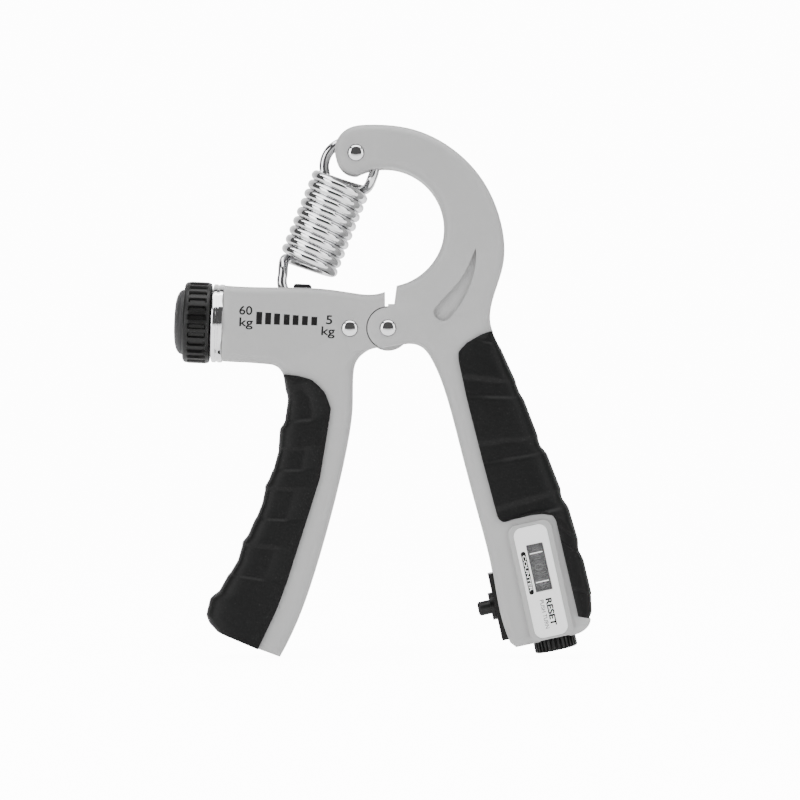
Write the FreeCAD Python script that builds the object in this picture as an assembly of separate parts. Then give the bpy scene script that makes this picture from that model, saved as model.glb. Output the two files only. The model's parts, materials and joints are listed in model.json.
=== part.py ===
import FreeCAD, Part
import math
import os
from FreeCAD import Vector

# Hand grip strengthener. Everything is laid out round the pivot pin's centre, on the mid-plane:
# +X towards the palm handle, +Y towards the back, +Z up. save() moves it to the palm grip's centre.

# ---- Driving dimensions, in millimetres ----
PALM_CENTRE = Vector(33.5, 0, -34)   # middle of the palm handle, the origin of the part
BODY_HALF = 10.5                     # half the thickness of both levers
GRIP_PROUD = 0.6                     # how far the rubber stands above the levers' flat faces
CORE_HALF = 8.0                      # half the thickness of the plastic core under the rubber
EDGE_R = 2.4                         # rounding along the levers' edges
TONGUE_HALF, FORK_HALF = 4.3, 4.6    # the tongue and the slot that it turns in
KNUCKLE_R, KNUCKLE_GAP = 6.0, 0.3    # the fork's round cheeks and the room round them
TONGUE_R, FORK_SLOT_R = 6.5, 7.0
PIN_R, HEAD_R, HEAD_PROUD, HEAD_SEAT = 2.0, 2.4, 0.5, 0.4
RUNNING = 0.05                       # radial clearance of a running fit
PIVOT = (0.0, 0.0)
SCREW_PIN = (-11.1, -0.1)
SPRING_PIN = (-9.3, 50.9)
HOLE_CENTRE, HOLE_R = (-1.0, 29.4), 17.4      # inside of the arch
ARCH_CENTRE, ARCH_R = (-2.9, 22.6), 36.7      # outside of the arch
NOSE_R = 6.15
HOOK_SLOT_HALF = 1.8                 # half the width of the slot in the nose
HOOK_SLOT_R = 9.9
UPPER_LOOP = (-11.3, 47.4)           # centre of the spring's upper loop
LOWER_LOOP = (-25.7, 13.9)           # centre of the spring's lower loop
WIRE = 2.9
COIL_R, COIL_LOW, COIL_HIGH = 9.0, (-23.6, 18.3), (-13.5, 43.2)
BARREL_TILT = 2.4                    # degrees that the barrel rises away from the pivot
BARREL_END, BARREL_R, BORE_R = 36.9, 11.0, 8.0
BORE_START, SLOT_START, SLOT_END, SLOT_HALF = 5.8, 6.0, 34.0, 4.2
KNOB_START, KNOB_END, KNOB_R, KNOB_RIBS = 40.7, 48.7, 12.0, 28
CAP_END, CAP_R = 51.6, 9.6
COLLAR_R, SPIGOT_R = 11.45, 9.0
SCREW_R, SCREW_JOURNAL_R = 3.0, 2.0
SLIDER_START, SLIDER_LENGTH, SLIDER_R = 11.2, 9.0, 7.7
LUG_START, LUG_LENGTH, LUG_HALF, LUG_TOP = 11.8, 5.2, 3.8, 12.5
NUT_R = 4.5
COUNTER = (43.9, -69.4)              # middle of the counter's window
HANDLE_LEAN = 12.4                   # degrees that the counter's side leans from upright
AXLE_Y, AXLE_R, DRUM_R, DRUM_WIDTH, DRUM_PITCH = -4.0, 1.0, 4.9, 4.1, 4.4
COVER = (-13.3, 21.0, -6.9, 6.1)     # u from, u to, v from, v to: u down the handle, v outwards
LABEL = (-12.3, 20.3, -5.4, 4.5)
WINDOW = (-6.95, 6.95, -2.43, 2.43)
COVER_PROUD, LABEL_THICK = 1.2, 0.3
POCKET = (-12.0, 17.0, -5.4, 5.4)
POCKET_BACK = 4.6
FLANGE = (-0.9, 18.9, -14.9, -12.9)
SLEEVE_R, SLEEVE_OUT, SLEEVE_IN = 4.05, -16.2, -6.0
SHOULDER = -13.0                      # where the count button's flange meets its sleeve
PINION_Y, PINION_R = 2.3, 1.25
PLATES = ((-9.5, -8.3), (11.0, 12.2))  # the counter frame's end plates, along u
BUTTON_U, BUTTON_TIP, BUTTON_R, BUTTON_TRAVEL = 8.7, -19.9, 2.1, 3.0
RESET_R, RESET_TOP, RESET_END = 6.3, 21.0, 24.8

# ---- Outlines that are free curves: (x, z) points in the front view ----
GRIP_LINE_RIGHT = [(30.5, -0.9), (27.3, -2.0), (23.2, -4.35), (20.7, -7.0), (20.8, -9.6), (23.2, -20.6),
                   (27.7, -38.3), (32.2, -55.1)]
GRIP_FOOT_RIGHT = [(32.2, -55.1), (33.3, -56.3), (35.7, -55.8), (40.3, -53.9), (44.8, -53.0),
                   (47.6, -53.9), (49.0, -56.0), (50.1, -60.9), (53.6, -75.7), (55.5, -83.8)]
INNER_EDGE_RIGHT = [(35.6, -91.5), (32.2, -80.6), (30.7, -71.9), (26.1, -53.4), (21.2, -34.8),
                    (16.8, -18.6), (13.0, -9.3), (9.6, -5.2), (6.2, -4.4),
                    (2.5, -5.0), (-2.0, -5.8)]
BANDS_RIGHT = [(32.5, -4.9), (37.7, -16.2), (38.6, -18.6), (39.4, -19.9), (44.1, -32.2), (44.7, -34.2),
               (46.1, -35.7), (50.75, -47.6), (51.0, -49.3), (52.5, -51.3), (55.7, -62.35), (55.7, -64.4),
               (57.1, -67.6), (59.5, -77.7), (59.7, -82.65), (58.9, -84.4)]
CORE_RIGHT = [(27.3, -3.5), (34.2, -16.0), (39.8, -32.0), (46.6, -47.0), (51.9, -62.0), (56.2, -80.0),
              (55.2, -83.0), (52.0, -82.0), (47.5, -58.0), (31.0, -57.0), (21.5, -9.0)]
GRIP_LINE_LEFT = [(-30.5, -13.6), (-26.5, -14.0), (-22.4, -15.1), (-18.5, -18.8), (-16.8, -23.5),
                  (-18.0, -31.2), (-20.0, -43.5), (-23.0, -53.1), (-29.6, -73.7), (-32.5, -81.5),
                  (-38.0, -93.2)]
INNER_EDGE_LEFT = [(-4.6, -5.8), (-7.2, -7.2), (-9.3, -9.6), (-10.2, -13.6), (-10.4, -23.2),
                   (-11.6, -32.5), (-15.7, -51.0), (-20.9, -69.6), (-27.6, -88.2), (-31.4, -95.6)]
BANDS_LEFT = [(-29.5, -20.9), (-30.5, -27.8), (-31.6, -29.3), (-32.0, -34.8), (-33.9, -41.8),
              (-34.8, -44.1), (-36.0, -46.1), (-37.0, -51.0), (-38.9, -55.7), (-40.9, -60.3),
              (-42.6, -62.35), (-44.1, -67.6), (-46.7, -71.9), (-49.3, -76.6), (-51.9, -78.6),
              (-53.1, -83.5), (-52.2, -85.8)]
CORE_LEFT = [(-29.0, -15.0), (-28.0, -24.0), (-30.5, -42.0), (-35.5, -57.0), (-43.0, -73.0),
             (-47.5, -80.0), (-47.0, -86.0), (-38.5, -91.5), (-33.0, -80.0), (-24.0, -53.0),
             (-18.5, -30.0), (-20.0, -17.0)]


# ---- Helpers ----
def at(point, y=0.0):
    return Vector(point[0], y, point[1])


def line(a, b):
    return Part.LineSegment(at(a), at(b)).toShape()


def arc(a, middle, b):
    return Part.Arc(at(a), at(middle), at(b)).toShape()


def spline(points):
    curve = Part.BSplineCurve()
    curve.interpolate([at(p) for p in points])
    return curve.toShape()


def polyline(points):
    return [line(a, b) for a, b in zip(points, points[1:])]


def on_circle(centre, radius, degrees):
    angle = math.radians(degrees)
    return (centre[0] + radius * math.cos(angle), centre[1] + radius * math.sin(angle))


def slab(edges, y_from, y_to):
    """The closed front-view outline, filled and carried from y_from to y_to."""
    face = Part.Face(Part.Wire(Part.__sortEdges__(edges)))
    face.translate(Vector(0, y_from, 0))
    return face.extrude(Vector(0, y_to - y_from, 0))


def rod_y(point, radius, y_from, y_to):
    """A rod across the levers."""
    return Part.makeCylinder(radius, y_to - y_from, at(point, y_from), Vector(0, 1, 0))


def rounded(solid, radius, half, kept_sharp):
    """Rounds the edges of the front and back faces, except those that lie along kept_sharp."""
    chosen = []
    for edge in solid.Edges:
        middle = edge.valueAt((edge.FirstParameter + edge.LastParameter) / 2)
        if abs(abs(middle.y) - half) > 0.01 or abs(abs(edge.Vertexes[0].Point.y) - half) > 0.01:
            continue
        flat = Part.Vertex(middle.x, 0, middle.z)
        if all(flat.distToShape(other)[0] > 0.01 for other in kept_sharp):
            chosen.append(edge)
    return solid.makeFillet(radius, chosen)


# The barrel's frame: s runs along its axis from the screw-end pin to the knob, t across it, upwards.
BARREL_DIR = Vector(-math.cos(math.radians(BARREL_TILT)), 0, math.sin(math.radians(BARREL_TILT)))
BARREL_UP = Vector(math.sin(math.radians(BARREL_TILT)), 0, math.cos(math.radians(BARREL_TILT)))


def barrel_point(s, t=0.0):
    return at(SCREW_PIN) + BARREL_DIR * s + BARREL_UP * t


def barrel_rod(radius, s_from, s_to):
    return Part.makeCylinder(radius, s_to - s_from, barrel_point(s_from), BARREL_DIR)


def barrel_box(s_from, s_to, t_from, t_to, half):
    corners = [barrel_point(s, t) for s, t in ((s_from, t_from), (s_to, t_from), (s_to, t_to), (s_from, t_to))]
    return slab(polyline([(c.x, c.z) for c in corners + corners[:1]]), -half, half)


# The counter's frame: u runs down the palm handle from the window's middle, v outwards.
COUNTER_DOWN = Vector(math.sin(math.radians(HANDLE_LEAN)), 0, -math.cos(math.radians(HANDLE_LEAN)))
COUNTER_OUT = Vector(math.cos(math.radians(HANDLE_LEAN)), 0, math.sin(math.radians(HANDLE_LEAN)))


def counter_point(u, v, y=0.0):
    return at(COUNTER, y) + COUNTER_DOWN * u + COUNTER_OUT * v


def counter_box(span, y_from, y_to):
    u_from, u_to, v_from, v_to = span
    corners = [counter_point(u, v) for u, v in ((u_from, v_from), (u_to, v_from), (u_to, v_to), (u_from, v_to))]
    return slab(polyline([(c.x, c.z) for c in corners + corners[:1]]), y_from, y_to)


def softened(solid, radius, direction):
    """Rounds the edges that run along direction."""
    along = [e for e in solid.Edges if abs(abs(e.tangentAt(e.FirstParameter).dot(direction)) - 1) < 1e-6]
    return solid.makeFillet(radius, along)


def axle_rod(radius, u_from, u_to):
    """A rod along the counter's axle."""
    return Part.makeCylinder(radius, u_to - u_from, counter_point(u_from, 0, AXLE_Y), COUNTER_DOWN)


def button_rod(radius, v_from, v_to):
    """A rod along the count button's path."""
    return Part.makeCylinder(radius, v_to - v_from, counter_point(BUTTON_U, v_from), COUNTER_OUT)


def toothed(radius, root, teeth, centre, axis, side, length):
    """A wheel with teeth round straight ends: a star outline carried along its axis."""
    across = axis.cross(side)
    corners = []
    for k in range(2 * teeth):
        angle = math.pi * k / teeth
        reach = radius if k % 2 else root
        corners.append(centre + side * (reach * math.cos(angle)) + across * (reach * math.sin(angle)))
    return Part.Face(Part.makePolygon(corners + corners[:1])).extrude(axis * length)


def save(shape, node):
    solid = shape.removeSplitter()
    solid.translate(-PALM_CENTRE)
    solid.exportStep("parts/%s.step" % node)


# ---- Pins ----
def pin(point):
    """A rivet across both cheeks with a shallow domed head at each end."""
    seat = BODY_HALF - HEAD_SEAT
    shape = rod_y(point, PIN_R, -seat, seat)
    for side in (-1, 1):
        head = rod_y(point, HEAD_R, min(side * seat, side * (BODY_HALF + HEAD_PROUD)),
                     max(side * seat, side * (BODY_HALF + HEAD_PROUD)))
        dome_r = 4.2
        dome = Part.makeSphere(dome_r, at(point, side * (BODY_HALF + HEAD_PROUD - dome_r)))
        shape = shape.fuse(head.common(dome))
    return shape


def pin_hole(point, shank=PIN_R):
    """The hole for a pin, with a seat for each head."""
    seat = BODY_HALF - HEAD_SEAT
    hole = rod_y(point, shank, -BODY_HALF - 1, BODY_HALF + 1)
    for y_from, y_to in ((-BODY_HALF - 1, -seat), (seat, BODY_HALF + 1)):
        hole = hole.fuse(rod_y(point, HEAD_R + 0.1, y_from, y_to))
    return hole


# ---- Arch lever: nose, arch, fork and palm handle ----
def arch_outline():
    """Edges that get rounded, and edges that stay sharp."""
    hole_start = on_circle(HOLE_CENTRE, HOLE_R, 118)
    hole_end = on_circle(HOLE_CENTRE, HOLE_R, -78.4)
    nose = [on_circle(SPRING_PIN, NOSE_R, angle) for angle in (-135, 180)] + [(-14.6, 55.2), (-11.8, 58.0)]
    arch = [on_circle(ARCH_CENTRE, ARCH_R, angle) for angle in range(94, -27, -20)]
    grip_end, heel, toe = (58.9, -84.4), (54.6, -89.1), (37.3, -92.8)
    lap_low, lap_high, notch = (-8.0, -8.2), (-8.0, 7.0), (1.8, 7.0)
    soft = [spline([hole_start] + nose + arch + [(29.7, 3.0), GRIP_LINE_RIGHT[0]]),
            arc(hole_end, on_circle(HOLE_CENTRE, HOLE_R, 20), hole_start),
            line(heel, toe), line(toe, INNER_EDGE_RIGHT[0]), spline(INNER_EDGE_RIGHT + [lap_low])]
    sharp = [spline(GRIP_LINE_RIGHT), spline(GRIP_FOOT_RIGHT), line(GRIP_FOOT_RIGHT[-1], grip_end),
             spline([grip_end, (58.4, -86.2), (57.0, -87.8), heel]), line(lap_low, lap_high), line(lap_high, notch), line(notch, hole_end)]
    return soft, sharp


def teardrop():
    """The recess beside the hole: a round end that tapers up along the arch."""
    tip, foot, r = (25.5, 23.2), (15.7, 4.7), 2.5
    return [spline([(foot[0] - r, foot[1] + 0.4), (17.3, 10.0), (21.4, 14.7), (24.2, 20.2), tip]),
            spline([tip, (25.6, 20.3), (24.2, 13.3), (21.9, 8.2), (foot[0] + r + 0.4, foot[1] - 1.0)]),
            arc((foot[0] + r + 0.4, foot[1] - 1.0), (foot[0] + 0.3, foot[1] - r - 0.1),
                (foot[0] - r, foot[1] + 0.4))]


def arch_lever_frame():
    soft, sharp = arch_outline()
    shape = rounded(slab(soft + sharp, -BODY_HALF, BODY_HALF), EDGE_R, BODY_HALF, sharp)
    beside = Part.makeBox(12, 30, 20, Vector(-12, -15, -10)).cut(rod_y(PIVOT, KNUCKLE_R, -15, 15))
    shape = shape.cut(beside).fuse(slab(polyline(CORE_RIGHT + CORE_RIGHT[:1]), -CORE_HALF, CORE_HALF))
    for y_from, y_to in ((-BODY_HALF - 1, -BODY_HALF + 1.2), (BODY_HALF - 1.2, BODY_HALF + 1)):
        shape = shape.cut(slab(teardrop(), y_from, y_to))
    shape = shape.cut(rod_y(PIVOT, FORK_SLOT_R, -FORK_HALF, FORK_HALF))
    shape = shape.cut(rod_y(UPPER_LOOP, HOOK_SLOT_R, -HOOK_SLOT_HALF, HOOK_SLOT_HALF))
    shape = shape.cut(pin_hole(PIVOT)).cut(pin_hole(SPRING_PIN))
    shape = shape.cut(counter_box(POCKET, -BODY_HALF - 1, POCKET_BACK))
    shape = shape.cut(button_rod(SLEEVE_R, -18, SLEEVE_IN)).cut(button_rod(1.6, -7, -4))
    shape = shape.cut(counter_box(FLANGE, -5.5, 5.5)).cut(counter_box((-0.9, 18.9, -18, FLANGE[2]), -5.5, 5.5))
    shape = shape.cut(axle_rod(RESET_R + 0.4, 19.2, 26)).cut(axle_rod(1.6, 16, 22))
    return shape


def grip(outline, core):
    """A rubber overmould: stands a little above the flat faces and wraps the core."""
    outer = slab(outline, -BODY_HALF - GRIP_PROUD, BODY_HALF + GRIP_PROUD)
    return outer.cut(slab(polyline(core + core[:1]), -CORE_HALF, CORE_HALF))


def palm_grip():
    outline = [spline(GRIP_LINE_RIGHT), spline(GRIP_FOOT_RIGHT), line(GRIP_FOOT_RIGHT[-1], BANDS_RIGHT[-1]),
               line(GRIP_LINE_RIGHT[0], BANDS_RIGHT[0])] + polyline(BANDS_RIGHT)
    return grip(outline, CORE_RIGHT)


# ---- Barrel lever: barrel, tongue and finger handle ----
def barrel_outline():
    """Edges that get rounded, and edges that stay sharp."""
    top_left, low_left = barrel_point(BARREL_END, BARREL_R), barrel_point(BARREL_END, -BARREL_R)
    top_left, low_left = (top_left.x, top_left.z), (low_left.x, low_left.z)
    corner, inside = (-0.9, 10.6), (-0.9, -5.0)
    soft = [spline([corner, (-4.5, 9.8), (-10.5, 10.3), (-17.5, 11.3), (-30.0, 11.85), top_left]),
            spline([low_left, (-42.0, -9.9), (-36.5, -10.3), (-32.8, -11.0), GRIP_LINE_LEFT[0]]),
            line(GRIP_LINE_LEFT[-1], INNER_EDGE_LEFT[-1]), spline(INNER_EDGE_LEFT)]
    sharp = [line(top_left, low_left), spline(GRIP_LINE_LEFT), line(INNER_EDGE_LEFT[0], inside),
             line(inside, corner)]
    return soft, sharp


def barrel_lever_frame():
    soft, sharp = barrel_outline()
    shape = rounded(slab(soft + sharp, -BODY_HALF, BODY_HALF), EDGE_R, BODY_HALF, sharp)
    shape = shape.fuse(slab(polyline(CORE_LEFT + CORE_LEFT[:1]), -CORE_HALF, CORE_HALF))
    for y_from, y_to in ((-BODY_HALF - 1, -TONGUE_HALF), (TONGUE_HALF, BODY_HALF + 1)):
        shape = shape.cut(rod_y(PIVOT, KNUCKLE_R + KNUCKLE_GAP, y_from, y_to))
    shape = shape.fuse(rod_y(PIVOT, TONGUE_R, -TONGUE_HALF, TONGUE_HALF))
    shape = shape.cut(rod_y(PIVOT, PIN_R + RUNNING, -BODY_HALF, BODY_HALF))
    shape = shape.cut(barrel_rod(BORE_R, BORE_START, BARREL_END + 1)).cut(barrel_rod(4.0, -3.5, BORE_START))
    shape = shape.cut(barrel_box(SLOT_START, SLOT_END, 0, BARREL_R + 4, SLOT_HALF))
    return shape.cut(pin_hole(SCREW_PIN))


def finger_grip():
    outline = [spline(GRIP_LINE_LEFT), line(GRIP_LINE_LEFT[0], BANDS_LEFT[0]), *polyline(BANDS_LEFT),
               line(BANDS_LEFT[-1], GRIP_LINE_LEFT[-1])]
    return grip(outline, CORE_LEFT)


def screw_end_bush():
    """Bearing block for the screw's end, held by its pin."""
    shape = barrel_rod(4.0, -3.5, BORE_START - 0.3)
    return shape.cut(barrel_rod(SCREW_JOURNAL_R + RUNNING, 2.4, BORE_START)).cut(rod_y(SCREW_PIN, PIN_R, -6, 6))


def barrel_end_bush():
    shape = barrel_rod(BORE_R, BARREL_END - 2.2, BARREL_END).fuse(barrel_rod(SPIGOT_R, BARREL_END, KNOB_START - 0.4))
    return shape.cut(barrel_rod(SCREW_R + RUNNING, BARREL_END - 3, KNOB_START))


def barrel_collar():
    ring = barrel_rod(COLLAR_R, BARREL_END, KNOB_START - 0.4)
    return ring.makeChamfer(0.4, ring.Edges).cut(barrel_rod(SPIGOT_R, BARREL_END - 1, KNOB_START))


# ---- Adjuster: knob, cap and lead screw ----
def adjusting_screw():
    shape = barrel_rod(SCREW_JOURNAL_R, 2.7, BORE_START + 0.2)
    shape = shape.fuse(barrel_rod(SCREW_R, BORE_START + 0.2, KNOB_START + 4.0))
    shape = shape.fuse(barrel_rod(4.2, BARREL_END - 3.5, BARREL_END - 2.4))
    return shape.cut(barrel_rod(1.25, KNOB_START - 6, KNOB_START + 5))


def adjust_knob():
    """A ribbed wheel between two plain rims."""
    rim = 1.0
    shape = toothed(KNOB_R, KNOB_R - 0.7, KNOB_RIBS, barrel_point(KNOB_START + rim), BARREL_DIR, BARREL_UP,
                    KNOB_END - KNOB_START - 2 * rim)
    for s_from in (KNOB_START, KNOB_END - rim):
        shape = shape.fuse(barrel_rod(KNOB_R - 0.8, s_from, s_from + rim))
    shape = shape.cut(barrel_rod(SCREW_R, KNOB_START - 1, KNOB_START + 4.0))
    return shape.cut(barrel_rod(1.5, KNOB_START, KNOB_END)).cut(barrel_rod(CAP_R - 1.6, KNOB_END - 1.8, KNOB_END + 1))


def knob_screw():
    """The screw that holds the knob on the lead screw, under the cap."""
    head = barrel_rod(2.75, KNOB_END - 1.8, KNOB_END)
    shape = head.fuse(barrel_rod(1.25, KNOB_START - 4, KNOB_END - 1.8))
    for half_x, half_y in ((1.6, 0.3), (0.3, 1.6)):
        shape = shape.cut(barrel_box(KNOB_END - 0.9, KNOB_END + 1, -half_x, half_x, half_y))
    return shape


def knob_end_cap():
    """A shallow dome with a skirt that snaps into the knob."""
    rise = CAP_END - KNOB_END
    ball_r = (CAP_R ** 2 + rise ** 2) / (2 * rise)
    dome = Part.makeSphere(ball_r, barrel_point(CAP_END - ball_r)).common(barrel_rod(CAP_R, KNOB_END, CAP_END))
    skirt = barrel_rod(CAP_R - 1.6, KNOB_END - 1.8, KNOB_END).cut(barrel_rod(CAP_R - 2.8, KNOB_END - 2, KNOB_END))
    return dome.fuse(skirt)


# ---- Slider ----
def slider_block():
    shape = barrel_rod(SLIDER_R, SLIDER_START, SLIDER_START + SLIDER_LENGTH)
    lug = barrel_box(LUG_START, LUG_START + LUG_LENGTH, 5.0, LUG_TOP, LUG_HALF)
    shape = shape.fuse(softened(lug, 0.8, Vector(0, 1, 0)))
    hook_way = barrel_box(SLIDER_START - 1, SLIDER_START + SLIDER_LENGTH + 1, 6.2, 11.2, HOOK_SLOT_HALF)
    return shape.cut(hook_way).cut(barrel_rod(NUT_R, SLIDER_START - 1, SLIDER_START + SLIDER_LENGTH + 1))


def slider_nut():
    nut = barrel_rod(NUT_R, SLIDER_START, SLIDER_START + SLIDER_LENGTH)
    return nut.cut(barrel_rod(SCREW_R + RUNNING, SLIDER_START - 1, SLIDER_START + SLIDER_LENGTH + 1))


# ---- Spring ----
def loop(centre, outer):
    return Part.makeTorus(outer - 0.5 * WIRE, 0.5 * WIRE, at(centre), Vector(0, 1, 0))


def spring():
    """The close-wound coil as one solid tube, with a hook loop at each end."""
    low, high = at(COIL_LOW), at(COIL_HIGH)
    length = (high - low).Length
    tube = Part.makeCylinder(COIL_R, length, low, high - low)
    tube = tube.cut(Part.makeCylinder(COIL_R - WIRE, length - 2 * WIRE, low + (high - low) * (WIRE / length),
                                      high - low))
    return tube.fuse(loop(UPPER_LOOP, COIL_R)).fuse(loop(LOWER_LOOP, 6.8))


# ---- Repetition counter ----
def counter_cover():
    plate = counter_box(COVER, -BODY_HALF - COVER_PROUD, -BODY_HALF)
    plate = softened(plate, 2.5, Vector(0, 1, 0))
    plate = plate.cut(counter_box(LABEL, -BODY_HALF - COVER_PROUD - 1, -BODY_HALF - COVER_PROUD + LABEL_THICK))
    plate = plate.fuse(counter_box((POCKET[0] + 0.1, POCKET[1] - 0.1, -5.3, 5.3), -BODY_HALF, -BODY_HALF + 0.6))
    return plate.cut(counter_box(WINDOW, -BODY_HALF - 3, -BODY_HALF + 3))


def counter_label():
    face = -BODY_HALF - COVER_PROUD
    label = softened(counter_box(LABEL, face, face + LABEL_THICK), 2.5, Vector(0, 1, 0))
    return label.cut(counter_box(WINDOW, face - 1, face + 1))


def counter_window():
    return counter_box(WINDOW, -BODY_HALF - 0.7, -BODY_HALF + 0.3)


def button_guide():
    """Black flange on the handle's inner edge, with the sleeve that guides the count button."""
    shape = counter_box(FLANGE, -5.5, 5.5).fuse(button_rod(SLEEVE_R, SLEEVE_OUT, SLEEVE_IN))
    shape = shape.cut(button_rod(BUTTON_R + RUNNING, -17, SHOULDER)).cut(button_rod(3.2, SHOULDER, -6.8))
    return shape.cut(button_rod(1.5, -7, -5))


def count_button():
    tip = button_rod(BUTTON_R, BUTTON_TIP, SHOULDER)
    tip = tip.makeFillet(0.5, [tip.Edges[k] for k in range(3) if tip.Edges[k].Closed][-1:])
    shape = tip.fuse(button_rod(3.1, SHOULDER + RUNNING, -11.9))
    return shape.fuse(button_rod(1.4, -12.5, -5.2))


def button_spring():
    return button_rod(2.9, -11.9, -6.8).cut(button_rod(1.6, -13, -5))


def drive_pawl():
    """Steel finger on the count button's stem that pushes the ratchet wheel."""
    return counter_box((BUTTON_U - 1.1, BUTTON_U + 1.1, -5.2, -0.5), -0.6, 0.0)


def counter_frame():
    """Bent steel bracket that carries the counter's two axles."""
    shape = counter_box((PLATES[0][0], PLATES[1][1], -5.0, 5.0), POCKET_BACK - 0.8, POCKET_BACK)
    for u_from, u_to in PLATES:
        shape = shape.fuse(counter_box((u_from, u_to, -5.0, 5.0), AXLE_Y - 2.5, POCKET_BACK))
    shape = shape.cut(axle_rod(AXLE_R + RUNNING, -10, 13))
    return shape.cut(Part.makeCylinder(0.8, 23, counter_point(-10, 0, PINION_Y), COUNTER_DOWN))


def counter_axle():
    return axle_rod(AXLE_R, PLATES[0][0], RESET_TOP + 1)


def reset_washer():
    return axle_rod(2.4, 16.3, 17.0).cut(axle_rod(AXLE_R + RUNNING, 16, 18))


def reset_spring():
    return axle_rod(2.2, PLATES[1][1], 16.3).cut(axle_rod(1.3, 12, 17))


def reset_knob():
    shape = toothed(RESET_R, RESET_R - 0.35, 30, counter_point(RESET_TOP, 0, AXLE_Y), COUNTER_DOWN,
                    COUNTER_OUT, RESET_END - RESET_TOP)
    shape = shape.cut(axle_rod(AXLE_R, 20, RESET_TOP + 1))
    slot = Part.makeBox(8, 1.2, 2, Vector(-4, -0.6, -1.0))
    slot.Placement = FreeCAD.Placement(counter_point(RESET_END, 0, AXLE_Y),
                                       FreeCAD.Rotation(COUNTER_OUT, Vector(0, 1, 0), -COUNTER_DOWN, "ZXY"))
    return shape.cut(slot)


def drum(index):
    """A number wheel; index 1 is the units wheel, next to the ratchet."""
    middle = index * DRUM_PITCH
    shape = axle_rod(DRUM_R, middle - DRUM_WIDTH / 2, middle + DRUM_WIDTH / 2)
    shape = shape.makeFillet(0.25, shape.Edges)
    return shape.cut(axle_rod(AXLE_R + RUNNING, middle - DRUM_WIDTH, middle + DRUM_WIDTH))


def ratchet_wheel():
    start = DRUM_PITCH + DRUM_WIDTH / 2
    shape = toothed(2.9, 2.3, 10, counter_point(start, 0, AXLE_Y), COUNTER_DOWN, COUNTER_OUT, 3.1)
    return shape.cut(axle_rod(AXLE_R + RUNNING, start - 1, start + 4))


def detent_spring():
    """Leaf that stops the ratchet wheel from turning back."""
    return counter_box((BUTTON_U - 1.1, BUTTON_U + 1.1, 3.3, 3.6), -6.5, POCKET_BACK - 0.8)


def transfer_pinion(side):
    """Small gear between two number wheels."""
    start = side * DRUM_PITCH / 2 - 0.9
    shape = toothed(PINION_R, PINION_R - 0.2, 8, counter_point(start, 0, PINION_Y), COUNTER_DOWN, COUNTER_OUT, 1.8)
    return shape.cut(Part.makeCylinder(0.85, 3, counter_point(start - 0.5, 0, PINION_Y), COUNTER_DOWN))


def pinion_axle():
    return Part.makeCylinder(0.8, PLATES[1][1] - PLATES[0][0], counter_point(PLATES[0][0], 0, PINION_Y),
                             COUNTER_DOWN)


def main():
    os.makedirs("parts", exist_ok=True)
    for make in (arch_lever_frame, palm_grip, barrel_lever_frame, finger_grip, screw_end_bush, barrel_end_bush,
                 barrel_collar, adjusting_screw, adjust_knob, knob_screw, knob_end_cap, slider_block, slider_nut,
                 spring, counter_cover, counter_label, counter_window, button_guide, count_button, button_spring,
                 drive_pawl, counter_frame, counter_axle, reset_washer, reset_spring, reset_knob, ratchet_wheel,
                 detent_spring, pinion_axle):
        save(make(), make.__name__)
    for node, point in (("pivot_pin", PIVOT), ("screw_end_pin", SCREW_PIN), ("spring_pin", SPRING_PIN)):
        save(pin(point), node)
    for node, index in (("units_wheel", 1), ("tens_wheel", 0), ("hundreds_wheel", -1)):
        save(drum(index), node)
    for node, side in (("tens_pinion", 1), ("hundreds_pinion", -1)):
        save(transfer_pinion(side), node)


main()
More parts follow.
